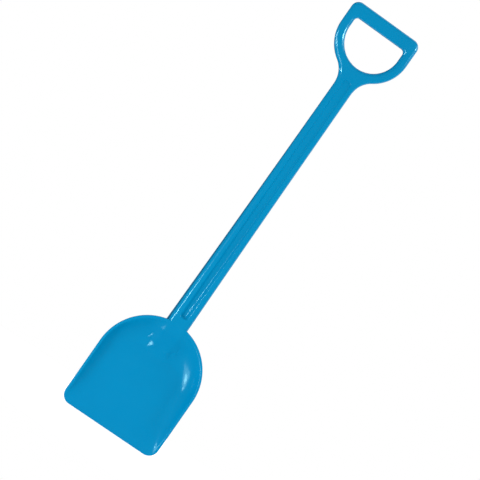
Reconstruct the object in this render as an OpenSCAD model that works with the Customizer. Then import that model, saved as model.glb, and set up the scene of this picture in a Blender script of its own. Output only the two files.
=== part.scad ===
// Sand shovel: a hollow blade, a channelled shaft and a D grip, upright on its digging edge.
// The hollow faces -Y, the shaft runs along +Z and X goes across.
// The rim of the blade and the fronts of the shaft and the grip lie in one plane.

/* [Whole] */
// Height from the digging edge to the top of the grip
overall_h = 550; // [520:5:600]
// Radius of the long edges of the shaft and the grip
edge_r = 4.4; // [3.6:0.1:4.6]

/* [Blade] */
// Width across the rim
blade_w = 125; // [115:1:140]
// Height from the digging edge to the top of the arch
blade_h = 141; // [132:1:155]
// Depth of the hollow behind the plane of the rim
hollow_depth = 15.6; // [13:0.1:18]
// Height above the digging edge at which the hollow is deepest
hollow_h = 108; // [95:1:125]
// How far the digging edge lies behind the plane of the rim
edge_depth = 2.4; // [2:0.1:3.2]
// Thickness of the shell
shell_t = 2.4; // [2:0.1:3.2]
// Thickness of the digging edge
edge_t = 1.8; // [1.4:0.1:2]
// Height over which the shell thins to the digging edge
thinning_h = 22; // [15:1:30]
// Radius of the two lower corners
corner_r = 12; // [8:0.5:15]
// Width of the wall at the sides, seen from the front
side_run = 20; // [17:0.5:23]
// Width of the wall at the top of the arch, seen from the front
arch_run = 47; // [42:0.5:50]
// Height over which the side walls fade out above the digging edge
fade_h = 34; // [24:1:42]
// Height of the wall that is left at the digging edge
fade_t = 0.8; // [0.5:0.1:1.5]
// Width of the flat land of the rim
land_w = 2.2; // [1.6:0.1:2.6]
// Rounding of the rim
rim_r = 0.6; // [0.4:0.1:0.8]
// Length of the ridge that brings the shaft into the hollow
ridge_h = 32; // [28:1:38]
// Width of the ridge at its lower end
ridge_w = 36; // [30:0.5:40]
// Radius of the ridge's edges at its lower end
ridge_r = 11; // [8:0.5:14]
// How far the end of the ridge sinks behind the floor of the hollow
ridge_sink = 0.5; // [0.3:0.1:2]
// Size of the fillet round the ridge
ridge_fillet = 13; // [10:0.5:15]
// Size of the fillet round the foot of the shaft on the back of the blade
spine_fillet = 4; // [3:0.5:6]

/* [Shaft] */
// Width at the foot
foot_w = 25.6; // [24:0.1:27]
// Width at the top, where the throat begins
neck_w = 23; // [21:0.1:23.8]
// Depth at the foot, front to back
foot_d = 21.5; // [19:0.5:23]
// Depth at the top, and of the grip
neck_d = 10.5; // [9.5:0.1:12]
// Width of the channel at its mouth
channel_w = 10.5; // [9:0.1:11.5]
// Depth of the channel at the foot of the shaft
channel_foot_d = 3.8; // [3:0.1:4.6]
// Depth of the channel at the top of the shaft
channel_neck_d = 1.2; // [0.9:0.1:1.8]
// Slope of the channel's walls in degrees
channel_draft = 45; // [30:1:46]
// Solid length between the blade and the channel
channel_foot = 8; // [6:0.5:12]
// Solid length between the channel and the grip
channel_head = 4.2; // [3.6:0.2:6]

/* [Joints] */
// Width of the two tenons
tenon_w = 12; // [10:0.5:13]
// Thickness of the tenon in the blade
foot_tenon_t = 6; // [4.5:0.5:7]
// Length of the tenon in the blade
foot_tenon_h = 11; // [8:0.5:12]
// How far the middle of the tenon in the blade lies behind the front of the shaft
foot_tenon_y = 12; // [11:0.1:13]
// Thickness of the tenon in the grip
head_tenon_t = 4.5; // [3.5:0.5:5]
// Length of the tenon in the grip
head_tenon_h = 8; // [6:0.5:9]
// Gap round a tenon in its pocket
tenon_gap = 0.15; // [0.1:0.05:0.3]

/* [Grip] */
// Outer radius of the D
grip_r = 44.7; // [44:0.1:47]
// Radius of the hand opening
hole_r = 33.4; // [31:0.1:34]
// Height of the cross bar
bar_h = 16.5; // [14:0.5:18]
// Distance from the top of the grip to the middle of the D
ring_drop = 29.3; // [28:0.1:32]
// Radius of the upper corners outside
grip_corner_r = 9; // [7:0.5:12]
// Radius of the upper corners of the hand opening
hole_corner_r = 4.5; // [3:0.5:6]
// Radius of the hollow curves between the shaft and the D
throat_r = 28; // [24:0.5:32]
// Height of the joint above the start of the throat
joint_rise = 14.5; // [13:0.5:16]

/* [Hidden] */
// Overrun of every cut
cut_over = 1;
// Share of the wall's width inside the land taken by its rounded top
lip_share = 0.12;
// Share of the wall's height in the steep bank under the rim, and the power by which that bank ends
bank_share = 0.3;
bank_power = 8;
// Power of the ridge's slope, by which it leaves the shaft without a break
ridge_power = 1.4;
// Steepness of the flanks of the ridge in the hollow and of the spine on the back
ridge_slope = 0.55;
spine_slope = 6;
// Length of the channel's ends as a share of its half width, and the power that squares them
end_share = 0.7;
end_power = 3;
// Share of the shaft's width over which the rounding of the rim ends beside the shaft
rim_end_share = 0.15;
// Share of the blade's width left to the middle of the floor
core_share = 0.033;
// Rows of the blade from the land inwards, first over the wall, then over the floor
wall_shares = [0, 0.03, 0.07, 0.12, 0.18, 0.26, 0.36, 0.48, 0.62, 0.8, 1];
floor_shares = [0.06, 0.13, 0.2, 0.28, 0.36, 0.46, 0.62, 0.82, 1];
// Columns of the blade up one side and round one half of the arch
side_cols = 12;
coarse_cols = 14;
fine_cols = 24;
fine_angle = 26;
// Directions in which the shell's thickness is laid off behind the wall
shell_angles = [0:10:80];
// Steps in a quarter round of the shaft and the grip
edge_steps = 4;
// Steps along the shaft and round the end of the channel
shaft_steps = 10;
channel_steps = 8;
// Steps of the grip's outline
throat_steps = 6;
ring_steps = 12;
side_steps = 3;
corner_steps = 6;
bar_steps = 6;
floor_steps = 10;
// Half angle of the throat under the hand opening
throat_angle = 16;

half_w = blade_w / 2;
arch_z = blade_h - half_w;
mid_y = max(hollow_depth + shell_t, foot_d) / 2;
ring_z = overall_h - ring_drop;
hole_top = overall_h - bar_h;
throat_x = neck_w / 2 + throat_r;
throat_z = ring_z - sqrt((grip_r + throat_r) ^ 2 - throat_x ^ 2);
throat_end = atan2(ring_z - throat_z, throat_x);
joint_z = throat_z + joint_rise;
channel_end = end_share * channel_w / 2;
channel_z1 = blade_h + channel_foot + channel_end;
channel_z2 = joint_z - channel_head - channel_end;
rows = 1 + len(wall_shares) + len(floor_shares);
half_cols = side_cols + coarse_cols + fine_cols;
cols = 2 * half_cols + 1;
plastic = [0, 0.55, 0.78];

function clamp(t) = max(0, min(1, t));
function ease(t) = let (c = clamp(t)) c * c * (3 - 2 * c);
function mix(a, b, t) = a + (b - a) * t;
function blend(a, b, k) = let (h = k > 0 ? max(k - abs(a - b), 0) / k : 0) min(a, b) - h * h * k / 4;
function tris(quads) = [for (q = quads) each [[q[0], q[1], q[2]], [q[0], q[2], q[3]]]];
function turned(faces) = [for (f = faces) [f[0], f[2], f[1]]];
function quarter(k) = 90 * k / edge_steps;

// Blade: depths behind the front plane, over a place d inside the rim where the wall is run wide

function wall(t) =
    let (left = clamp(1 - t))
    1 - (1 - bank_share) * left ^ 2 - bank_share * left ^ bank_power;
function rise(t) = let (over = max(t, 0)) wall(over * over / (over + lip_share));
function floor_y(z) = mix(edge_depth, hollow_depth, sin(90 * clamp(z / hollow_h)));
function rim_y(z) = (edge_depth - fade_t) * (1 - ease(z / fade_h));
function dish_y(d, run, z) = mix(rim_y(z), floor_y(z), rise((d - land_w) / (run - land_w)));
function shell_y(d, run, z) =
    let (t = mix(edge_t, shell_t, ease(z / thinning_h)))
    max([for (a = shell_angles) dish_y(d + t * sin(a), run, z) + t * cos(a)]);
function shoulder(over, slope, r) =
    let (bend = min(max(over, 0), r * slope / norm([1, slope])))
    r - sqrt(r * r - bend * bend) + max(over - bend, 0) * slope;
function ridge_share(z) = (blade_h - z) / ridge_h;
function ridge_y(x, z) =
    let (t = ridge_share(z))
    let (half = mix(foot_w, ridge_w, clamp(t)) / 2)
    let (r = mix(edge_r, ridge_r, clamp(t)))
    (hollow_depth + ridge_sink) * max(t, 0) ^ ridge_power + shoulder(abs(x) - half + r, ridge_slope, r);
function spine_y(x, z) =
    foot_d * (1 - ridge_share(z) ^ 2) - shoulder(abs(x) - foot_w / 2 + edge_r, spine_slope, edge_r);
function front_surface(x, z, d, run) =
    max(0, blend(dish_y(d, run, z), ridge_y(x, z), ridge_fillet * ease(2 * ridge_share(z))));
function back_surface(x, z, d, run) = -blend(-shell_y(d, run, z), -spine_y(x, z), spine_fillet);

// Blade: places in the front plane, columns going up the left side, over the arch and down the right

function half_angle(k) = k < coarse_cols
    ? k * (90 - fine_angle) / coarse_cols
    : 90 - fine_angle + (k - coarse_cols) * fine_angle / fine_cols;
function lower_z(r) =
    let (over = r - (half_w - corner_r))
    over <= 0 ? 0 : corner_r - sqrt(max(corner_r * corner_r - over * over, 0));
function col_angle(i) = i < side_cols ? 0 : half_angle(i - side_cols);
function col_place(i, d) =
    let (r = half_w - d)
    let (a = col_angle(i))
    i < side_cols ? [-r, mix(lower_z(r), arch_z, i / side_cols)] : [-r * cos(a), arch_z + r * sin(a)];
function col_run(i) = mix(side_run, arch_run, sin(col_angle(i)) ^ 2);
function col_inset(i) = i < side_cols
    ? rim_r * min(1, i / 2)
    : rim_r * clamp((half_w * cos(col_angle(i)) / foot_w - 1 / 2) / rim_end_share);
function row_d(i, j) =
    let (run = col_run(i))
    j == 0 ? col_inset(i)
    : j <= len(wall_shares) ? mix(land_w, run, wall_shares[j - 1])
    : mix(run, half_w - blade_w * core_share, floor_shares[j - 1 - len(wall_shares)]);
function own(i) = i > half_cols ? 2 * half_cols - i : i;
function side_of(i) = i > half_cols ? -1 : 1;
function blade_point(i, j, back) =
    let (k = own(i))
    let (d = row_d(k, j))
    let (p = col_place(k, d))
    let (y = back ? back_surface(p[0], p[1], d, col_run(k)) : front_surface(p[0], p[1], d, col_run(k)))
    [side_of(i) * p[0], y - mid_y, p[1]];
function rim_point(i) =
    let (f = blade_point(i, 0, false))
    let (b = blade_point(i, 0, true))
    let (a = col_angle(own(i)))
    let (out = col_inset(own(i)))
    [f[0] - side_of(i) * out * cos(a), (f[1] + b[1]) / 2, f[2] + out * sin(a)];
function front_at(i, j) = i * rows + j;
function back_at(i, j) = cols * rows + front_at(i, j);
function rim_at(i) = 2 * cols * rows + i;

module blade_shell() {
    last = cols - 1;
    inner = rows - 1;
    points = concat(
        [for (i = [0:last]) for (j = [0:inner]) blade_point(i, j, false)],
        [for (i = [0:last]) for (j = [0:inner]) blade_point(i, j, true)],
        [for (i = [0:last]) rim_point(i)]);
    sheet = concat(
        tris([for (i = [0:last - 1]) for (j = [0:inner - 1])
            [front_at(i, j), front_at(i, j + 1), front_at(i + 1, j + 1), front_at(i + 1, j)]]),
        tris([for (i = [0:side_cols - 1])
            [front_at(i, inner), front_at(last - i, inner),
             front_at(last - i - 1, inner), front_at(i + 1, inner)]]),
        [for (i = [side_cols + 1:last - side_cols - 1])
            [front_at(side_cols, inner), front_at(i + 1, inner), front_at(i, inner)]]);
    sheet_back = [for (f = turned(sheet)) [for (v = f) v + cols * rows]];
    rim = concat(
        tris([for (i = [0:last - 1]) [front_at(i, 0), front_at(i + 1, 0), rim_at(i + 1), rim_at(i)]]),
        tris([for (i = [0:last - 1]) [rim_at(i), rim_at(i + 1), back_at(i + 1, 0), back_at(i, 0)]]));
    edge = concat(
        [[front_at(0, 1), front_at(0, 0), rim_at(0)],
         [rim_at(0), back_at(0, 0), back_at(0, 1)],
         [front_at(0, 1), rim_at(0), back_at(0, 1)],
         [front_at(last, 1), rim_at(last), front_at(last, 0)],
         [rim_at(last), back_at(last, 1), back_at(last, 0)],
         [front_at(last, 1), back_at(last, 1), rim_at(last)]],
        tris([for (j = [1:inner - 1])
            [front_at(0, j + 1), front_at(0, j), back_at(0, j), back_at(0, j + 1)]]),
        tris([for (j = [1:inner - 1])
            [front_at(last, j), front_at(last, j + 1), back_at(last, j + 1), back_at(last, j)]]),
        tris([[front_at(last, inner), front_at(0, inner), back_at(0, inner), back_at(last, inner)]]));
    polyhedron(points, turned(concat(sheet, sheet_back, rim, edge)));
}

module blade() {
    color(plastic)
        difference() {
            blade_shell();
            foot_tenon(tenon_gap);
        }
}

// Shaft: rounded sections stacked along Z, with a channel cut into the front

function shaft_share(z) = clamp((z - blade_h) / (throat_z - blade_h));
function shaft_half(z, inset) = z <= throat_z
    ? mix(neck_w, foot_w, (1 - shaft_share(z)) ^ 2) / 2 - inset
    : throat_x - sqrt((throat_r + inset) ^ 2 - (z - throat_z) ^ 2);
function shaft_depth(z) = mix(foot_d, neck_d, shaft_share(z));
function shaft_section(z) = [for (side = [1, -1]) for (k = [0:2 * edge_steps + 1])
    let (front = (k <= edge_steps) == (side > 0))
    let (a = k <= edge_steps ? 90 - quarter(k) : quarter(k - edge_steps - 1))
    let (in = edge_r * (1 - sin(a)))
    [side * shaft_half(z, edge_r * (1 - cos(a))), (front ? in : shaft_depth(z) - in) - mid_y, z]];

module shaft_bar() {
    stations = concat(
        [arch_z],
        [for (k = [0:shaft_steps]) mix(blade_h, throat_z, k / shaft_steps)],
        [for (k = [1:throat_steps]) mix(throat_z, joint_z, k / throat_steps)]);
    n = 4 * (edge_steps + 1);
    top = len(stations) - 1;
    points = [for (z = stations) each shaft_section(z)];
    walls = tris([for (s = [0:top - 1]) for (k = [0:n - 1])
        [s * n + k, s * n + (k + 1) % n, (s + 1) * n + (k + 1) % n, (s + 1) * n + k]]);
    foot_cap = [for (k = [1:n - 2]) [0, k + 1, k]];
    top_cap = [for (k = [1:n - 2]) [top * n, top * n + k, top * n + k + 1]];
    polyhedron(points, turned(concat(walls, foot_cap, top_cap)));
}

function channel_depth(z) = mix(channel_neck_d, channel_foot_d, (1 - shaft_share(z)) ^ 2);
slot_half = shaft_steps + channel_steps;
function slot_place(k, inset) =
    let (own = k % slot_half)
    let (way = k < slot_half ? 1 : -1)
    let (r = channel_w / 2 - inset)
    let (a = 180 * max(own - shaft_steps, 0) / channel_steps)
    let (x = r * sign(cos(a)) * abs(cos(a)) ^ (2 / end_power))
    let (out = r * end_share * sin(a) ^ (2 / end_power))
    let (z = mix(channel_z1, channel_z2, min(own / shaft_steps, 1)) + out)
    [way * x, way > 0 ? z : channel_z1 + channel_z2 - z];

module channel() {
    n = 2 * slot_half;
    slope = tan(channel_draft);
    points = concat(
        [for (k = [0:n - 1])
            let (deep = channel_depth(slot_place(k, 0)[1]))
            let (p = slot_place(k, deep * slope))
            [p[0], deep - mid_y, p[1]]],
        [for (k = [0:n - 1])
            let (p = slot_place(k, -cut_over * slope))
            [p[0], -cut_over - mid_y, p[1]]]);
    walls = tris([for (k = [0:n - 1]) [k, (k + 1) % n, n + (k + 1) % n, n + k]]);
    lid = concat(
        tris([for (c = [shaft_steps, slot_half + shaft_steps]) for (k = [0:channel_steps / 2 - 2])
            [c + k, (c + channel_steps - k) % n, c + channel_steps - k - 1, c + k + 1]]),
        [for (c = [shaft_steps, slot_half + shaft_steps])
            let (k = c + channel_steps / 2)
            [k - 1, k + 1, k]],
        tris([for (k = [0:shaft_steps - 1])
            let (far = slot_half + shaft_steps - k)
            [far - 1, k + 1, k, far]]));
    far_lid = [for (f = turned(lid)) [for (v = f) v + n]];
    polyhedron(points, turned(concat(walls, lid, far_lid)));
}

module foot_tenon(gap) {
    w = tenon_w + 2 * gap;
    t = foot_tenon_t + 2 * gap;
    translate([-w / 2, foot_tenon_y - t / 2 - mid_y, blade_h - foot_tenon_h - gap])
        cube([w, t, foot_tenon_h + channel_foot / 2 + gap]);
}

module head_tenon(gap) {
    w = tenon_w + 2 * gap;
    t = head_tenon_t + 2 * gap;
    translate([-w / 2, (neck_d - t) / 2 - mid_y, joint_z - channel_head / 2])
        cube([w, t, channel_head / 2 + head_tenon_h + gap]);
}

module shaft() {
    color(plastic) {
        difference() {
            shaft_bar();
            channel();
            translate([0, 0, arch_z])
                rotate([90, 0, 0])
                    cylinder(h = 4 * foot_d, r = half_w, center = true);
        }
        foot_tenon(0);
        head_tenon(0);
    }
}

// Grip: a rounded section carried round the D, its lower end closed by the flat face of the joint
// A column holds the outer place, its outward normal, the inner place and its outward normal

function fillet_col(k) =
    let (a = mix(asin(joint_rise / throat_r), throat_end, k / throat_steps))
    let (b = mix(90 - throat_angle, throat_end, k / throat_steps))
    [[throat_x - throat_r * cos(a), throat_z + throat_r * sin(a)], [cos(a), -sin(a)],
     [hole_r * cos(b), ring_z - hole_r * sin(b)], [-cos(b), sin(b)]];
function ring_col(k) =
    let (b = throat_end * (1 - k / ring_steps))
    let (n = [cos(b), -sin(b)])
    [[0, ring_z] + grip_r * n, n, [0, ring_z] + hole_r * n, -n];
function side_col(k) =
    [[grip_r, mix(ring_z, overall_h - grip_corner_r, k / side_steps)], [1, 0],
     [hole_r, mix(ring_z, hole_top - hole_corner_r, k / side_steps)], [-1, 0]];
function corner_col(k) =
    let (a = 90 * k / corner_steps)
    let (n = [cos(a), sin(a)])
    [[grip_r - grip_corner_r, overall_h - grip_corner_r] + grip_corner_r * n, n,
     [hole_r - hole_corner_r, hole_top - hole_corner_r] + hole_corner_r * n, -n];
function bar_col(k) =
    let (t = 1 - k / bar_steps)
    [[(grip_r - grip_corner_r) * t, overall_h], [0, 1], [(hole_r - hole_corner_r) * t, hole_top], [0, -1]];
function floor_col(k) =
    let (b = mix(90 - throat_angle, 90 + throat_angle, k / floor_steps))
    [[0, 0], [0, 0], [hole_r * cos(b), ring_z - hole_r * sin(b)], [-cos(b), sin(b)]];
function flipped(c) = [for (v = c) [-v[0], v[1]]];
right_cols = concat(
    [for (k = [0:throat_steps]) fillet_col(k)],
    [for (k = [1:ring_steps]) ring_col(k)],
    [for (k = [1:side_steps]) side_col(k)],
    [for (k = [1:corner_steps]) corner_col(k)],
    [for (k = [1:bar_steps]) bar_col(k)]);
grip_cols = concat(right_cols, [for (k = [len(right_cols) - 2:-1:0]) flipped(right_cols[k])]);
grip_side = 2 * (edge_steps + 1);

function edge_angle(k) = k <= edge_steps ? 90 - quarter(k) : quarter(k - edge_steps - 1);
function edge_inset(k) = edge_r * (1 - cos(edge_angle(k)));
function edge_y(k) =
    let (in = edge_r * (1 - sin(edge_angle(k))))
    (k <= edge_steps ? in : neck_d - in) - mid_y;
function seen(p, y) = [p[0], y, p[1]];
function joint_x(k) = throat_x - sqrt((throat_r + edge_inset(k)) ^ 2 - joint_rise ^ 2);
function outer_edge(c, k) =
    let (col = grip_cols[c])
    c == 0 ? seen([joint_x(k), joint_z], edge_y(k))
    : c == len(grip_cols) - 1 ? seen([-joint_x(k), joint_z], edge_y(k))
    : seen(col[0] - edge_inset(k) * col[1], edge_y(k));
function inner_edge(col, k) = seen(col[2] - edge_inset(k) * col[3], edge_y(k));

module grip_body() {
    n = 2 * grip_side;
    m = grip_side + 2;
    last = len(grip_cols) - 1;
    base = (last + 1) * n;
    points = concat(
        [for (c = [0:last]) each concat(
            [for (k = [0:grip_side - 1]) outer_edge(c, k)],
            [for (k = [grip_side - 1:-1:0]) inner_edge(grip_cols[c], k)])],
        [for (k = [1:floor_steps - 1])
            let (x = joint_x(0) * (1 - 2 * k / floor_steps))
            each concat(
                [seen([x, joint_z], edge_y(0)), seen([x, joint_z], edge_y(grip_side - 1))],
                [for (e = [grip_side - 1:-1:0]) inner_edge(floor_col(k), e)])]);
    function under(k, p) = k == 0 || k == floor_steps
        ? (k == 0 ? 0 : last) * n + (p == 0 ? 0 : grip_side + p - 2)
        : base + (k - 1) * m + p;
    sweep = tris([for (c = [0:last - 1]) for (k = [0:n - 1])
        [c * n + k, c * n + (k + 1) % n, (c + 1) * n + (k + 1) % n, (c + 1) * n + k]]);
    throat = tris([for (k = [0:floor_steps - 1]) for (p = [0:m - 1])
        [under(k + 1, p), under(k + 1, (p + 1) % m), under(k, (p + 1) % m), under(k, p)]]);
    ends = tris([for (k = [0:edge_steps - 1]) for (c = [0, last])
        let (p = [k, k + 1, grip_side - 2 - k, grip_side - 1 - k])
        let (q = c == 0 ? [p[0], p[3], p[2], p[1]] : p)
        [for (v = q) c * n + v]]);
    polyhedron(points, turned(concat(sweep, throat, ends)));
}

module grip() {
    color(plastic)
        difference() {
            grip_body();
            head_tenon(tenon_gap);
        }
}

blade();
shaft();
grip();
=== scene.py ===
"""Looks of the sand shovel: smooth glossy blue plastic over the blade, the shaft and the grip."""

import math

import bpy
import numpy as np
from mathutils import Matrix, Vector


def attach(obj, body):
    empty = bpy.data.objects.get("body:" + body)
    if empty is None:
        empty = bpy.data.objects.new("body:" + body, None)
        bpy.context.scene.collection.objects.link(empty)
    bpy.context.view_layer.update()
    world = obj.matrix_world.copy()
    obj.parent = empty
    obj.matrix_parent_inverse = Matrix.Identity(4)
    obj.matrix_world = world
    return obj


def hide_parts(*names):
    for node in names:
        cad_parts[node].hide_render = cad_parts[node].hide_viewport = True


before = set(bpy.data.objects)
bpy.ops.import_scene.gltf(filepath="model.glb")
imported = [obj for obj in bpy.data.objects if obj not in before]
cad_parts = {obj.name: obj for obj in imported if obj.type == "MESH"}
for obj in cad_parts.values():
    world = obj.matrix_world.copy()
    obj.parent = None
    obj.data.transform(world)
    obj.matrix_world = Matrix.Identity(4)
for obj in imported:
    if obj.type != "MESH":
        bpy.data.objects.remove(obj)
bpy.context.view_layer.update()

MM = 0.001
TINY = 1e-12
RIGHT_ANGLE = math.pi / 2
FORWARD = np.array([0.0, -1.0, 0.0])

# Sizes of the solids in millimetres. Depths count from the front plane backwards.

# Whole shovel: its height and the rounding of its long edges
HEIGHT, EDGE_R = 550.0, 4.4
# Blade: its outline, hollow, wall and rim
BLADE_W, BLADE_H, CORNER_R = 125.0, 141.0, 12.0
HOLLOW_DEPTH, HOLLOW_H = 15.6, 108.0
EDGE_DEPTH, EDGE_T, SHELL_T, THINNING_H = 2.4, 1.8, 2.4, 22.0
SIDE_RUN, ARCH_RUN = 20.0, 47.0
FADE_H, FADE_T = 34.0, 0.8
LAND_W, RIM_R = 2.2, 0.6
LIP_SHARE, BANK_SHARE, BANK_POWER = 0.12, 0.3, 8.0
# Ridge that carries the shaft, and the spine behind it
RIDGE_H, RIDGE_W, RIDGE_R, RIDGE_SINK = 32.0, 36.0, 11.0, 0.5
RIDGE_POWER, RIDGE_SLOPE = 1.4, 0.55
RIDGE_FILLET, RIDGE_FILLET_SHARE = 13.0, 0.5
SPINE_SLOPE, SPINE_FILLET = 6.0, 4.0
# Shaft and its channel
FOOT_W, NECK_W, FOOT_D, NECK_D = 25.6, 23.0, 21.5, 10.5
CHANNEL_W, CHANNEL_DRAFT = 10.5, math.radians(45)
CHANNEL_FOOT_D, CHANNEL_NECK_D = 3.8, 1.2
CHANNEL_FOOT, CHANNEL_HEAD = 8.0, 4.2
CHANNEL_END_SHARE, CHANNEL_END_POWER = 0.7, 3.0
# Grip and its throat
GRIP_R, HOLE_R, BAR_H, RING_DROP = 44.7, 33.4, 16.5, 29.3
GRIP_CORNER_R, HOLE_CORNER_R = 9.0, 4.5
THROAT_R, JOINT_RISE = 28.0, 14.5

# Forms that are too fine for the solids

# Roundings of the channel's mouth and floor
MOUTH_R, GUTTER_R = 0.9, 1.8
# Flats on the ridge's flanks: their slopes along x and z
FLAT_SLOPE_X, FLAT_SLOPE_Z = 0.315, -0.218
# Each flat: its middle, its sharpness, and the turn in degrees and the reach of each of its sides
FLATS = [
    ((12.0, 106.0), 3, [(235, 3.6), (115, 3.0), (355, 3.0)]),
    ((17.8, 113.5), 2, [(0, 1.2), (180, 1.2), (90, 4.0), (270, 3.0)]),
]
# Least rounding of the rim beside the shaft, and how fast it grows back
NOSE_MIN_R, NOSE_SHARE = 0.001, 0.5

# Places that follow from the sizes

HALF_W = BLADE_W / 2
ARCH_Z = BLADE_H - HALF_W
MID_Y = max(HOLLOW_DEPTH + SHELL_T, FOOT_D) / 2
RING_Z = HEIGHT - RING_DROP
HOLE_TOP = HEIGHT - BAR_H
THROAT_X = NECK_W / 2 + THROAT_R
THROAT_Z = RING_Z - math.sqrt((GRIP_R + THROAT_R) ** 2 - THROAT_X**2)
THROAT_END = math.atan2(RING_Z - THROAT_Z, THROAT_X)
JOINT_Z = THROAT_Z + JOINT_RISE
CHANNEL_END = CHANNEL_END_SHARE * CHANNEL_W / 2
CHANNEL_Z1 = BLADE_H + CHANNEL_FOOT + CHANNEL_END
CHANNEL_Z2 = JOINT_Z - CHANNEL_HEAD - CHANNEL_END

# Looks of the plastic

# Two close blues with their places on the noise, the range of its roughness and the relief of its skin
TONES = [(0.3, (0.0, 0.238, 0.486, 1.0)), (0.7, (0.0, 0.257, 0.514, 1.0))]
ROUGH_LOW, ROUGH_HIGH = 0.13, 0.19
SKIN_STRENGTH, SKIN_RELIEF = 0.003, 0.0004
# Scale and detail of the noise for each of them
TONE_NOISE, HAZE_NOISE, SKIN_NOISE = (11.0, 3.0), (60.0, 3.0), (80.0, 2.0)

# Camera fitted to the photo's outline: turns in degrees, focal length and aim in pixels, distance in metres

YAW, PITCH, ROLL = 8.8764, 0.4895, 34.8793
FOCAL_PX, AIM_PX, PHOTO_PX = 2412.8, (8.0013, 14.3947), 480
CAMERA_DISTANCE, SENSOR_MM = 2.674, 36.0
CLIP_NEAR, CLIP_FAR = 0.05, 60.0

# Stage in metres, with ways that lead from its middle

STAGE_MIDDLE = (0, 0, 0.2)
FLOOR_R, FLOOR_DROP, FLOOR_SIDES = 0.35, 0.0003, 64
WORLD_LIGHT, FLOOR_GLOW = 0.82, 0.6
MAIN_WAY = (-0.48, -0.8, -0.57)
# Each lamp: name, way, distance, width and height, power, and the nodes it is kept to as a glint, if any
LAMPS = [
    ("front_left", MAIN_WAY, 1.1, (0.2, 0.3), 2.0, []),
    ("front_left_halo", MAIN_WAY, 1.12, (0.5, 0.7), 3.4, []),
    ("left", (-0.6, -0.8, -0.1), 1.0, (0.14, 0.12), 2.8, ["shaft", "grip"]),
    ("high_right", (0.656, -0.67, 0.584), 1.1, (0.16, 0.2), 7.0, ["grip"]),
    ("far_left", (-1.04, -0.16, -0.2), 1.1, (0.2, 0.5), 9.0, ["grip"]),
    ("low_left", (-0.54, -0.8, -0.25), 0.985, (0.1, 0.06), 0.35, []),
    ("right", (0.81, -0.15, 0.57), 1.8, (1.0, 1.0), 12, []),
]
# Each dark bowl: name, turn and half angle in degrees
SHADES = [("front_shade", 0, 92), ("left_shade", -140, 60)]
SHADE_R, SHADE_RINGS, SHADE_SIDES = 4.0, 12, 32


def clamp(t):
    return np.clip(t, 0.0, 1.0)


def ease(t):
    c = clamp(t)
    return c * c * (3 - 2 * c)


def mix(a, b, t):
    return a + (b - a) * t


def blend(a, b, k):
    """The lesser of two depths, with a fillet of size k where they meet."""
    h = np.maximum(k - np.abs(a - b), 0) / np.maximum(k, TINY)
    return np.minimum(a, b) - h * h * k / 4


def unit(v):
    return v / np.maximum(np.linalg.norm(v, axis=-1, keepdims=True), TINY)


def signed_power(v, power):
    return np.sign(v) * np.abs(v) ** power


def steps(a, b, n):
    """n even steps from a to b, with a left out."""
    return np.linspace(a, b, n + 1)[1:]


# Pieces: meshes that stand for the nodes

# Decimals to which points agree that become one, and how far a point's normal has to face as its face does
MERGE_DIGITS, FACING_MIN = 4, 0.01
# Bends of a rounded edge, from the face to the side
EDGE_BENDS = np.linspace(0, RIGHT_ANGLE, 10)


def add_object(name, data):
    thing = bpy.data.objects.new(name, data)
    bpy.context.scene.collection.objects.link(thing)
    return thing


def merge(points, normals, faces):
    """Points that coincide become one, with their normals summed, and faces lose repeated corners."""
    keys = np.round(points, MERGE_DIGITS)
    _, first, merged = np.unique(keys, axis=0, return_index=True, return_inverse=True)
    merged = merged.reshape(-1)
    summed = np.zeros((len(first), 3))
    np.add.at(summed, merged, normals)
    loops = [list(dict.fromkeys(merged[list(face)].tolist())) for face in faces]
    return points[first], unit(summed), [loop for loop in loops if len(loop) > 2]


def set_normals(mesh, normals):
    """Each corner takes its point's normal, or its face's own where those two face apart."""
    mesh.polygons.foreach_set("use_smooth", [True] * len(mesh.polygons))
    counts, corners = np.zeros(len(mesh.polygons), int), np.zeros(len(mesh.loops), int)
    mesh.polygons.foreach_get("loop_total", counts)
    mesh.loops.foreach_get("vertex_index", corners)
    flat = np.repeat([tuple(face.normal) for face in mesh.polygons], counts, axis=0)
    smooth = normals[corners]
    facing = np.sum(flat * smooth, axis=1, keepdims=True) > FACING_MIN
    mesh.normals_split_custom_set(np.where(facing, smooth, flat).tolist())


def make_piece(name, node, points, normals, faces, material):
    """A piece that stands for a node, from points in millimetres (x, depth, z) with their normals."""
    places, normals, loops = merge(np.asarray(points, float), np.asarray(normals, float), faces)
    mesh = bpy.data.meshes.new(name)
    mesh.from_pydata(((places - np.array([0, MID_Y, 0])) * MM).tolist(), [], loops)
    mesh.update()
    set_normals(mesh, normals)
    mesh.materials.append(material)
    piece = add_object(name, mesh)
    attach(piece, "root")
    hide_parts(node)
    return piece


def tube_faces(rings, count):
    """Faces between closed rings that have count points each."""
    faces = []
    for ring in range(rings - 1):
        for k in range(count):
            a, b = ring * count + k, ring * count + (k + 1) % count
            faces.append((a, b, b + count, a + count))
    return faces


# Blade: two depths over each place in the front plane

# Turns by which the back follows the dish at an even wall
SHELL_TURNS = np.radians(np.arange(0, 81, 4))
# Step over which the slopes of a depth field are measured
FIELD_STEP = 0.01
# Mesh lines: heights from the digging edge, turns of the arch in degrees, then insets and shares of the wall
EDGE_HEIGHTS = [0, 0.03, 0.1, 0.22, 0.4, 0.6, 1.0, 1.6, 2.5]
RUNGS = np.concatenate([EDGE_HEIGHTS, steps(EDGE_HEIGHTS[-1], ARCH_Z, 30)]) / ARCH_Z
ARCH_TURNS = np.radians(np.concatenate([steps(0, 56, 30), steps(56, 90, 68)]))
RIM_INSETS = [0, 0.02, 0.08, 0.18, 0.32, 0.46, RIM_R, 1.2, 1.8, LAND_W]
WALL_SHARES = np.concatenate([steps(0, 0.1, 8), steps(0.1, 0.3, 8), steps(0.3, 1, 34)])
INNER_SHARES = steps(0, 1, 22)


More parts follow.
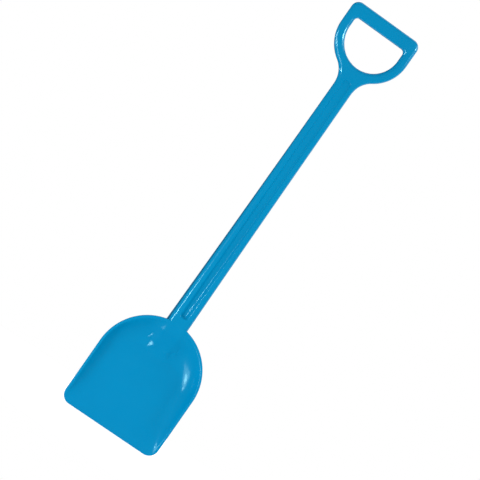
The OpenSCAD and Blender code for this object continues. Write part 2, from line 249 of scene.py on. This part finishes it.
def wall(t):
    """Depth of the wall as a share: a steep bank below the rim, then a wide hollow curve."""
    left = clamp(1 - t)
    return 1 - (1 - BANK_SHARE) * left**2 - BANK_SHARE * left**BANK_POWER


def rise(t):
    """The wall with a rounded lip at its top."""
    over = np.maximum(t, 0)
    return wall(over * over / (over + LIP_SHARE))


def floor_y(z):
    return mix(EDGE_DEPTH, HOLLOW_DEPTH, np.sin(RIGHT_ANGLE * clamp(z / HOLLOW_H)))


def rim_y(z):
    return (EDGE_DEPTH - FADE_T) * (1 - ease(z / FADE_H))


def dish_y(d, run, z):
    return mix(rim_y(z), floor_y(z), rise((d - LAND_W) / (run - LAND_W)))


def shell_y(d, run, z):
    """The back of the wall, which lies one thickness behind the dish."""
    t = mix(EDGE_T, SHELL_T, ease(z / THINNING_H))
    return np.max([dish_y(d + t * math.sin(a), run, z) + t * math.cos(a) for a in SHELL_TURNS], axis=0)


def shoulder(over, slope, r):
    """An edge of radius r that runs on as a straight flank."""
    bend = np.clip(over, 0, r * slope / math.hypot(1, slope))
    return r - np.sqrt(r**2 - bend * bend) + np.maximum(over - bend, 0) * slope


def spine_side(x):
    return shoulder(np.abs(x) - FOOT_W / 2 + EDGE_R, SPINE_SLOPE, EDGE_R)


def inside_rim(x, z):
    """Distance inside the rim, and the width of the wall there."""
    up = np.maximum(z - ARCH_Z, 0)
    r = np.hypot(x, up)
    return HALF_W - r, mix(SIDE_RUN, ARCH_RUN, (up / np.maximum(r, TINY)) ** 2)


def inside_outline(x, z):
    """Distance inside the whole outline: sides, arch, digging edge and lower corners."""
    d, _ = inside_rim(x, z)
    over, under = np.abs(x) - (HALF_W - CORNER_R), CORNER_R - z
    corner = CORNER_R - np.hypot(over, under)
    return np.where((over > 0) & (under > 0), corner, np.minimum(d, z))


def nose(x, z):
    """How much each face gives way at the rounded outline. The rounding ends where the shaft begins."""
    r = np.where(z > ARCH_Z, np.clip(NOSE_SHARE * spine_side(x), NOSE_MIN_R, RIM_R), RIM_R)
    b = np.clip(inside_outline(x, z), 0, r)
    return r - np.sqrt(np.maximum(r * r - (r - b) ** 2, 0))


def ridge_share(z):
    return (BLADE_H - z) / RIDGE_H


def ridged_dish(x, z):
    d, run = inside_rim(x, z)
    t = ridge_share(z)
    half, r = mix(FOOT_W, RIDGE_W, clamp(t)) / 2, mix(EDGE_R, RIDGE_R, clamp(t))
    ridge = (HOLLOW_DEPTH + RIDGE_SINK) * np.maximum(t, 0) ** RIDGE_POWER
    ridge = ridge + shoulder(np.abs(x) - half + r, RIDGE_SLOPE, r)
    return np.maximum(blend(dish_y(d, run, z), ridge, RIDGE_FILLET * ease(t / RIDGE_FILLET_SHARE)), 0)


def blade_front(x, z):
    """The dish with its ridge, and a three-cornered flat with a narrow one beside it on each flank."""
    depth = ridged_dish(x, z)
    for (flat_x, flat_z), sharpness, sides in FLATS:
        a, b = np.abs(x) - flat_x, z - flat_z
        flat = ridged_dish(flat_x, flat_z) + FLAT_SLOPE_X * a + FLAT_SLOPE_Z * b
        far = 0
        for turn, reach in sides:
            turn = math.radians(turn)
            far = far + (np.maximum(a * math.cos(turn) + b * math.sin(turn), 0) / reach) ** sharpness
        depth = mix(depth, flat, np.exp(-far))
    return depth + nose(x, z)


def blade_back(x, z):
    d, run = inside_rim(x, z)
    spine = FOOT_D * (1 - ridge_share(z) ** 2) - spine_side(x)
    return -blend(-shell_y(d, run, z), -spine, SPINE_FILLET) - nose(x, z)


def field_normals(field, x, z, side):
    """Normals of a depth field, facing forwards for side -1 and backwards for side 1."""
    slope_x = (field(x + FIELD_STEP, z) - field(x - FIELD_STEP, z)) / (2 * FIELD_STEP)
    slope_z = (field(x, z + FIELD_STEP) - field(x, z - FIELD_STEP)) / (2 * FIELD_STEP)
    return unit(side * np.stack([-slope_x, np.ones_like(x), -slope_z], -1))


def blade_grid():
    """Places x and z: columns up one side, over the arch and down the other, each from the rim inwards."""

    def radii(run):
        wall_rows, inner_rows = mix(LAND_W, run, WALL_SHARES), mix(run, HALF_W, INNER_SHARES)
        return HALF_W - np.concatenate([RIM_INSETS, wall_rows, inner_rows])

    xs, zs = [], []
    r = radii(SIDE_RUN)
    over = np.maximum(r - (HALF_W - CORNER_R), 0)
    low_z = CORNER_R - np.sqrt(np.maximum(CORNER_R**2 - over * over, 0))
    for rung in RUNGS:
        xs.append(-r)
        zs.append(mix(low_z, ARCH_Z, rung))
    for turn in ARCH_TURNS:
        r = radii(mix(SIDE_RUN, ARCH_RUN, math.sin(turn) ** 2))
        xs.append(-r * math.cos(turn))
        zs.append(ARCH_Z + r * math.sin(turn))
    return np.array(xs + [-x for x in xs[-2::-1]]), np.array(zs + zs[-2::-1])


def make_blade(material):
    x, z = blade_grid()
    points, normals = [], []
    for field, side in ((blade_front, -1), (blade_back, 1)):
        points.append(np.stack([x, field(x, z), z], -1).reshape(-1, 3))
        normals.append(field_normals(field, x, z, side).reshape(-1, 3))
    cols, rows = x.shape
    count = cols * rows
    at = np.arange(count).reshape(cols, rows)
    faces = []
    for i in range(cols - 1):
        for j in range(rows - 1):
            a, b, c, d = at[i, j], at[i + 1, j], at[i + 1, j + 1], at[i, j + 1]
            faces.append((a, d, c, b))
            faces.append((a + count, b + count, c + count, d + count))
    loop = list(at[:, 0]) + list(at[-1, 1:-1]) + list(at[0, :0:-1])
    for a, b in zip(loop, loop[1:] + loop[:1]):
        faces.append((a, b, b + count, a + count))
    return make_piece(
        "blade_shell", "blade", np.concatenate(points), np.concatenate(normals), faces, material
    )


# Shaft: closed rings, from the floor of the channel outwards and round to the back

# Steps over which the slopes of its faces and sides are measured
SLOPE_STEP, LEAN_STEP = 0.5, 0.05
SHAFT_STATIONS = np.linspace(CHANNEL_Z1, CHANNEL_Z2, 61)
END_TURNS = np.linspace(0, math.pi, 25)[1:-1]
# Points of a ring: along a side, across an end, in a quarter of an end, in its straight stretch, and in all
SIDE_N, END_N = len(SHAFT_STATIONS), len(END_TURNS)
QUARTER_N = END_N // 4
ACROSS_N = END_N - 2 * QUARTER_N
RING_N = 2 * (SIDE_N + END_N)
CHANNEL_BENDS = 8
# Rounds that it takes to find the channel's depth at the foot of its wall
DEPTH_ROUNDS = 3


def shaft_share(z):
    return clamp((z - BLADE_H) / (THROAT_Z - BLADE_H))


def shaft_half(z, inset):
    straight = mix(NECK_W, FOOT_W, (1 - shaft_share(z)) ** 2) / 2 - inset
    bend = (THROAT_R + inset) ** 2 - np.maximum(z - THROAT_Z, 0) ** 2
    return np.where(z <= THROAT_Z, straight, THROAT_X - np.sqrt(bend))


def shaft_depth(z):
    return mix(FOOT_D, NECK_D, shaft_share(z))


def channel_depth(z):
    return mix(CHANNEL_NECK_D, CHANNEL_FOOT_D, (1 - shaft_share(z)) ** 2)


def arch_z(x):
    return ARCH_Z + np.sqrt(HALF_W**2 - x**2)


def depth_normals(field, z, side):
    """Normals of a flat face whose depth changes along the shaft."""
    slope = (field(z + SLOPE_STEP) - field(z - SLOPE_STEP)) / (2 * SLOPE_STEP)
    return unit(side * np.stack([np.zeros_like(z), np.ones_like(z), -slope], -1))


def channel_outline():
    """Middles along the channel, the ways x and z from them to its outline, and the outline's normals."""
    end_x = signed_power(np.cos(END_TURNS), 2 / CHANNEL_END_POWER)
    end_z = CHANNEL_END_SHARE * np.sin(END_TURNS) ** (2 / CHANNEL_END_POWER)
    straight = np.ones(SIDE_N)
    way_x = np.concatenate([straight, end_x, -straight, -end_x])
    way_z = np.concatenate([0 * straight, end_z, 0 * straight, -end_z])
    head, foot = np.full(END_N, CHANNEL_Z2), np.full(END_N, CHANNEL_Z1)
    middle_z = np.concatenate([SHAFT_STATIONS, head, SHAFT_STATIONS[::-1], foot])
    normal_x = signed_power(way_x, CHANNEL_END_POWER - 1)
    normal_z = signed_power(way_z / CHANNEL_END_SHARE, CHANNEL_END_POWER - 1) / CHANNEL_END_SHARE
    return middle_z, way_x, way_z, unit(np.stack([normal_x, 0 * way_x, normal_z], -1))


def channel_rings():
    """Points and normals of the channel: floor, gutter, drafted wall and rounded mouth."""
    middle_z, way_x, way_z, out = channel_outline()
    draft = math.tan(CHANNEL_DRAFT)
    deep = channel_depth(middle_z + CHANNEL_W / 2 * way_z)
    for _ in range(DEPTH_ROUNDS):
        foot_z = middle_z + (CHANNEL_W / 2 - deep * draft) * way_z
        deep = channel_depth(foot_z)
    floor_normal = depth_normals(channel_depth, foot_z, -1)
    rings = []

    def add(inset, depth, normal):
        r = CHANNEL_W / 2 - inset
        rings.append((np.stack([r * way_x, depth, middle_z + r * way_z], -1), unit(normal)))

    sweep = RIGHT_ANGLE - CHANNEL_DRAFT
    reach = math.tan(sweep / 2)
    for a in np.linspace(0, sweep, CHANNEL_BENDS):
        inset = deep * draft + GUTTER_R * reach - GUTTER_R * math.sin(a)
        depth = deep - GUTTER_R * (1 - math.cos(a))
        add(inset, depth, math.cos(a) * floor_normal - math.sin(a) * out)
    for a in np.linspace(sweep, 0, CHANNEL_BENDS):
        inset = MOUTH_R * math.sin(a) - MOUTH_R * reach
        depth = np.full(RING_N, MOUTH_R * (1 - math.cos(a)))
        add(inset, depth, math.cos(a) * FORWARD - math.sin(a) * out)
    return rings


def outer_ring(bend, back):
    """Points and normals up one side, across the top end, down the other side and across the foot."""
    inset, gone = EDGE_R * (1 - math.sin(bend)), EDGE_R * (1 - math.cos(bend))
    half_foot = FOOT_W / 2 - inset
    across = np.linspace(1, -1, ACROSS_N + 2)[1:-1]
    up = np.concatenate([SHAFT_STATIONS, steps(CHANNEL_Z2, JOINT_Z, QUARTER_N)])
    down = steps(CHANNEL_Z1, arch_z(half_foot), QUARTER_N)
    x = np.concatenate([
        shaft_half(up, inset), across * shaft_half(JOINT_Z, inset), -shaft_half(up[::-1], inset),
        -shaft_half(down, inset), -across * half_foot, shaft_half(down[::-1], inset),
    ])
    z = np.concatenate([
        up, np.full(ACROSS_N, JOINT_Z), up[::-1], down, arch_z(across * half_foot), down[::-1],
    ])
    y = shaft_depth(z) - gone if back else np.full(RING_N, gone)
    lean = (shaft_half(z + LEAN_STEP, inset) - shaft_half(z - LEAN_STEP, inset)) / (2 * LEAN_STEP)
    out = unit(np.stack([np.sign(x), 0 * x, -lean], -1))
    face = depth_normals(shaft_depth, z, 1) if back else FORWARD
    normal = unit(math.cos(bend) * face + math.sin(bend) * out)
    if bend > 0:
        top = slice(SIDE_N + QUARTER_N, SIDE_N + QUARTER_N + ACROSS_N)
        foot = slice(top.start + RING_N // 2, top.stop + RING_N // 2)
        normal[top] = (0, 0, 1)
        normal[foot] = np.stack([-x[foot], 0 * x[foot], ARCH_Z - z[foot]], -1) / HALF_W
    return np.stack([x, y, z], -1), normal


def make_shaft(material):
    rings = channel_rings()
    rings += [outer_ring(bend, back=False) for bend in EDGE_BENDS]
    rings += [outer_ring(bend, back=True) for bend in EDGE_BENDS[::-1]]
    points, normals = (np.concatenate(part) for part in zip(*rings))
    faces = [(a, d, c, b) for a, b, c, d in tube_faces(len(rings), RING_N)]
    # The floor of the channel and the flat back are closed by strips from side to side
    left_foot = 2 * SIDE_N + END_N - 1
    end_strips = END_N // 2 + 2
    middle = [(k, left_foot - k) for k in range(SIDE_N)]
    top = [(SIDE_N - 1 + k, SIDE_N + END_N - k) for k in range(end_strips)]
    foot = [(-k % RING_N, left_foot + k) for k in range(end_strips)]
    last = (len(rings) - 1) * RING_N
    for (a, b), (c, d) in list(zip(middle, middle[1:])) + list(zip(top, top[1:])):
        faces.append((a, c, d, b))
        faces.append((last + b, last + d, last + c, last + a))
    for (a, b), (c, d) in zip(foot, foot[1:]):
        faces.append((b, d, c, a))
    # The foot of the back is closed by one face
    faces.append(tuple(last + k % RING_N for k in range(RING_N, left_foot - 1, -1)))
    return make_piece("shaft_beam", "shaft", points, normals, faces, material)


# Grip: a rounded section carried round the D

# Half of the opening's arc that lies over the joint with the shaft
FLOOR_HALF = math.radians(16)
THROAT_STEPS, RING_STEPS, SIDE_STEPS, CORNER_STEPS, BAR_STEPS, FLOOR_STEPS = 16, 32, 6, 14, 12, 24


def grip_columns():
    """Columns round the D: a place outside with its normal, and one in the opening with its normal."""
    right = []

    def add(outer, out, inner, into):
        right.append([np.array(v, float) for v in (outer, out, inner, into)])

    joint_turn = math.asin(JOINT_RISE / THROAT_R)
    for t in np.linspace(0, 1, THROAT_STEPS + 1):
        a = mix(joint_turn, THROAT_END, t)
        b = mix(RIGHT_ANGLE - FLOOR_HALF, THROAT_END, t)
        add(
            (THROAT_X - THROAT_R * math.cos(a), THROAT_Z + THROAT_R * math.sin(a)),
            (math.cos(a), -math.sin(a)),
            (HOLE_R * math.cos(b), RING_Z - HOLE_R * math.sin(b)),
            (-math.cos(b), math.sin(b)),
        )
    for t in steps(0, 1, RING_STEPS):
        b = THROAT_END * (1 - t)
        n = np.array([math.cos(b), -math.sin(b)])
        add([0, RING_Z] + GRIP_R * n, n, [0, RING_Z] + HOLE_R * n, -n)
    for t in steps(0, 1, SIDE_STEPS):
        outer_z = mix(RING_Z, HEIGHT - GRIP_CORNER_R, t)
        inner_z = mix(RING_Z, HOLE_TOP - HOLE_CORNER_R, t)
        add((GRIP_R, outer_z), (1, 0), (HOLE_R, inner_z), (-1, 0))
    for a in steps(0, RIGHT_ANGLE, CORNER_STEPS):
        n = np.array([math.cos(a), math.sin(a)])
        add(
            [GRIP_R - GRIP_CORNER_R, HEIGHT - GRIP_CORNER_R] + GRIP_CORNER_R * n, n,
            [HOLE_R - HOLE_CORNER_R, HOLE_TOP - HOLE_CORNER_R] + HOLE_CORNER_R * n, -n,
        )
    for t in steps(1, 0, BAR_STEPS):
        outer_x, inner_x = (GRIP_R - GRIP_CORNER_R) * t, (HOLE_R - HOLE_CORNER_R) * t
        add((outer_x, HEIGHT), (0, 1), (inner_x, HOLE_TOP), (0, -1))
    mirror = np.array([-1.0, 1.0])
    return right + [[v * mirror for v in column] for column in right[-2::-1]]


def joint_x(inset):
    """Half width of the throat at its joint with the shaft."""
    return THROAT_X - math.sqrt((THROAT_R + inset) ** 2 - JOINT_RISE**2)


def make_grip(material):
    # The section's edge from front to back: inset, depth and tilt, from 1 on the front to -1 on the back
    profile = [(EDGE_R * (1 - math.sin(a)), EDGE_R * (1 - math.cos(a)), math.cos(a)) for a in EDGE_BENDS]
    profile += [(inset, NECK_D - depth, -tilt) for inset, depth, tilt in profile[::-1]]
    columns = grip_columns()
    side, last = len(profile), len(columns) - 1
    points, normals = [], []

    def put(place, out, depth, tilt):
        across = math.sqrt(max(1 - tilt * tilt, 0))
        points.append((place[0], depth, place[1]))
        normals.append((across * out[0], -tilt, across * out[1]))

    def put_inner(place, into):
        for inset, depth, tilt in profile[::-1]:
            put(place - inset * into, into, depth, tilt)

    # The D, whose first and last columns end at the joint
    joint_sides = {0: 1, last: -1}
    for c, (outer, out, inner, into) in enumerate(columns):
        for inset, depth, tilt in profile:
            at_joint = c in joint_sides
            place = (joint_sides[c] * joint_x(inset), JOINT_Z) if at_joint else outer - inset * out
            put(place, out, depth, tilt)
        put_inner(inner, into)

    # The stretch between joint and opening, in columns from right to left
    column_n, floor_n, base = 2 * side, side + 2, len(points)
    for k in range(1, FLOOR_STEPS):
        x = joint_x(EDGE_R) * (1 - 2 * k / FLOOR_STEPS)
        b = mix(RIGHT_ANGLE - FLOOR_HALF, RIGHT_ANGLE + FLOOR_HALF, k / FLOOR_STEPS)
        into = np.array([-math.cos(b), math.sin(b)])
        put((x, JOINT_Z), (0, 0), 0, 1)
        put((x, JOINT_Z), (0, 0), NECK_D, -1)
        put_inner(np.array([0, RING_Z]) - HOLE_R * into, into)

    def floor_point(k, p):
        if k in (0, FLOOR_STEPS):
            return (0 if k == 0 else last) * column_n + (0 if p == 0 else side + p - 2)
        return base + (k - 1) * floor_n + p

    faces = tube_faces(len(columns), column_n)
    for k in range(FLOOR_STEPS):
        for p in range(floor_n):
            q = (p + 1) % floor_n
            corners = ((k + 1, p), (k + 1, q), (k, q), (k, p))
            faces.append(tuple(floor_point(*corner) for corner in corners))
    for c in joint_sides:
        for k in range(side // 2 - 1):
            quad = [c * column_n + v for v in (k, k + 1, side - 2 - k, side - 1 - k)]
            faces.append(tuple(quad if c else quad[::-1]))
    return make_piece("grip_ring", "grip", points, normals, faces, material)


# Material: smooth glossy moulded plastic


def make_plastic():
    material = bpy.data.materials.new("glossy_blue_plastic")
    material.use_nodes = True
    nodes, links = material.node_tree.nodes, material.node_tree.links
    shader = nodes["Principled BSDF"]
    shader.inputs["IOR"].default_value = 1.5
    shader.inputs["Specular IOR Level"].default_value = 0.5
    shader.inputs["Specular Tint"].default_value = (0.5, 1.0, 1.0, 1.0)
    place = nodes.new("ShaderNodeTexCoord")

    def noise(scale, detail):
        node = nodes.new("ShaderNodeTexNoise")
        node.inputs["Scale"].default_value = scale
        node.inputs["Detail"].default_value = detail
        links.new(place.outputs["Object"], node.inputs["Vector"])
        return node.outputs["Fac"]

    tone = nodes.new("ShaderNodeValToRGB")
    for stop, (position, colour) in zip(tone.color_ramp.elements, TONES):
        stop.position = position
        stop.color = colour
    links.new(noise(*TONE_NOISE), tone.inputs["Fac"])
    links.new(tone.outputs["Color"], shader.inputs["Base Color"])
    haze = nodes.new("ShaderNodeMapRange")
    haze.inputs["To Min"].default_value = ROUGH_LOW
    haze.inputs["To Max"].default_value = ROUGH_HIGH
    links.new(noise(*HAZE_NOISE), haze.inputs["Value"])
    links.new(haze.outputs["Result"], shader.inputs["Roughness"])
    skin = nodes.new("ShaderNodeBump")
    skin.inputs["Strength"].default_value = SKIN_STRENGTH
    skin.inputs["Distance"].default_value = SKIN_RELIEF
    links.new(noise(*SKIN_NOISE), skin.inputs["Height"])
    links.new(skin.outputs["Normal"], shader.inputs["Normal"])
    return material


# Stage: camera, softboxes, dark bowls, white surroundings and floor


def make_camera():
    yaw, pitch, roll = (math.radians(a) for a in (YAW, PITCH, ROLL))
    aim = Vector((0, -MID_Y * MM, HEIGHT / 2 * MM))
    right = Vector((math.cos(yaw), -math.sin(yaw), 0))
    level = Vector((math.sin(yaw), math.cos(yaw), 0))
    up_z = Vector((0, 0, 1))
    ahead = level * math.cos(pitch) + up_z * math.sin(pitch)
    up = up_z * math.cos(pitch) - level * math.sin(pitch)
    across = right * math.cos(roll) + up * math.sin(roll)
    upward = up * math.cos(roll) - right * math.sin(roll)
    spot = aim - ahead * CAMERA_DISTANCE
    look = (ahead * FOCAL_PX - across * AIM_PX[0] - upward * AIM_PX[1]).normalized()
    across = (across - look * across.dot(look)).normalized()
    upward = across.cross(look)
    data = bpy.data.cameras.new("camera")
    data.sensor_width = SENSOR_MM
    data.lens = FOCAL_PX / PHOTO_PX * SENSOR_MM
    data.clip_start, data.clip_end = CLIP_NEAR, CLIP_FAR
    camera = add_object("camera", data)
    turn = Matrix((across, upward, -look)).transposed()
    camera.matrix_world = Matrix.Translation(spot) @ turn.to_4x4()
    bpy.context.scene.camera = camera


def softbox(name, way, distance, size, power):
    """An area light that lies the given way from the stage's middle."""
    way = Vector(way).normalized()
    data = bpy.data.lights.new(name, "AREA")
    data.shape = "RECTANGLE"
    data.size, data.size_y = size
    data.energy = power
    lamp = add_object(name, data)
    lamp.location = Vector(STAGE_MIDDLE) + way * distance
    lamp.rotation_euler = way.to_track_quat("Z", "Y").to_euler()
    return lamp


def keep_to(lamp, pieces):
    """The lamp shows as a glint alone, and on these pieces alone."""
    kept = bpy.data.collections.new("lit_by_" + lamp.name)
    for piece in pieces:
        kept.objects.link(piece)
    lamp.light_linking.receiver_collection = kept
    lamp.visible_diffuse = False


def dark_shade(name, turn, spread):
    """A dark bowl outside the picture that only mirrored light sees, about a level direction."""
    points, faces = [(0, -SHADE_R, 0)], []
    for i in range(1, SHADE_RINGS + 1):
        a = math.radians(spread) * i / SHADE_RINGS
        wide, deep = SHADE_R * math.sin(a), SHADE_R * math.cos(a)
        for k in range(SHADE_SIDES):
            b = 2 * math.pi * k / SHADE_SIDES
            points.append((wide * math.cos(b), -deep, wide * math.sin(b)))
    for k in range(SHADE_SIDES):
        after = (k + 1) % SHADE_SIDES
        faces.append((0, 1 + k, 1 + after))
        for i in range(SHADE_RINGS - 1):
            low = 1 + i * SHADE_SIDES
            high = low + SHADE_SIDES
            faces.append((low + k, high + k, high + after, low + after))
    mesh = bpy.data.meshes.new(name)
    mesh.from_pydata(points, [], faces)
    shade = add_object(name, mesh)
    shade.location = STAGE_MIDDLE
    shade.rotation_euler = (0, 0, math.radians(turn))
    material = bpy.data.materials.new(name)
    material.use_nodes = True
    shader = material.node_tree.nodes["Principled BSDF"]
    shader.inputs["Base Color"].default_value = (0.02, 0.02, 0.02, 1)
    shader.inputs["Roughness"].default_value = 0.9
    shader.inputs["Specular IOR Level"].default_value = 0.0
    mesh.materials.append(material)
    shade.visible_camera = shade.visible_diffuse = False
    shade.visible_shadow = shade.visible_transmission = False


def seen_rays(nodes, links):
    """One where a camera, a mirror or glass looks, zero for light."""
    path = nodes.new("ShaderNodeLightPath")
    total = path.outputs["Is Camera Ray"]
    for name in ("Is Glossy Ray", "Is Transmission Ray"):
        most = nodes.new("ShaderNodeMath")
        most.operation = "MAXIMUM"
        links.new(total, most.inputs[0])
        links.new(path.outputs[name], most.inputs[1])
        total = most.outputs[0]
    return total


def make_world():
    world = bpy.data.worlds.new("studio")
    bpy.context.scene.world = world
    world.use_nodes = True
    nodes, links = world.node_tree.nodes, world.node_tree.links
    light = nodes["Background"]
    light.inputs["Color"].default_value = (1, 1, 1, 1)
    light.inputs["Strength"].default_value = WORLD_LIGHT
    white = nodes.new("ShaderNodeBackground")
    white.inputs["Color"].default_value = (1, 1, 1, 1)
    white.inputs["Strength"].default_value = 1.0
    choose = nodes.new("ShaderNodeMixShader")
    links.new(seen_rays(nodes, links), choose.inputs["Fac"])
    links.new(light.outputs["Background"], choose.inputs[1])
    links.new(white.outputs["Background"], choose.inputs[2])
    links.new(choose.outputs["Shader"], nodes["World Output"].inputs["Surface"])


def make_floor():
    mesh = bpy.data.meshes.new("floor")
    turns = np.linspace(0, 2 * math.pi, FLOOR_SIDES + 1)[:-1]
    rim = [(FLOOR_R * math.cos(a), FLOOR_R * math.sin(a), -FLOOR_DROP) for a in turns]
    mesh.from_pydata(rim, [], [tuple(range(FLOOR_SIDES))])
    floor = add_object("floor", mesh)
    floor.visible_glossy = floor.visible_shadow = False
    material = bpy.data.materials.new("pale_floor")
    material.use_nodes = True
    nodes, links = material.node_tree.nodes, material.node_tree.links
    shader = nodes["Principled BSDF"]
    shader.inputs["Base Color"].default_value = (0.8, 0.8, 0.8, 1)
    shader.inputs["Roughness"].default_value = 0.9
    shader.inputs["Specular IOR Level"].default_value = 0.1
    shader.inputs["Emission Color"].default_value = (1, 1, 1, 1)
    glow = nodes.new("ShaderNodeMath")
    glow.operation = "MULTIPLY"
    glow.inputs[1].default_value = FLOOR_GLOW
    links.new(seen_rays(nodes, links), glow.inputs[0])
    links.new(glow.outputs[0], shader.inputs["Emission Strength"])
    mesh.materials.append(material)


plastic = make_plastic()
pieces = {"blade": make_blade(plastic), "shaft": make_shaft(plastic), "grip": make_grip(plastic)}
make_camera()
make_world()
make_floor()
for lamp_name, way, distance, size, power, glint_nodes in LAMPS:
    lamp = softbox(lamp_name, way, distance, size, power)
    if glint_nodes:
        keep_to(lamp, [pieces[node] for node in glint_nodes])
for shade_name, turn, spread in SHADES:
    dark_shade(shade_name, turn, spread)
bpy.context.scene.view_settings.view_transform = "Standard"
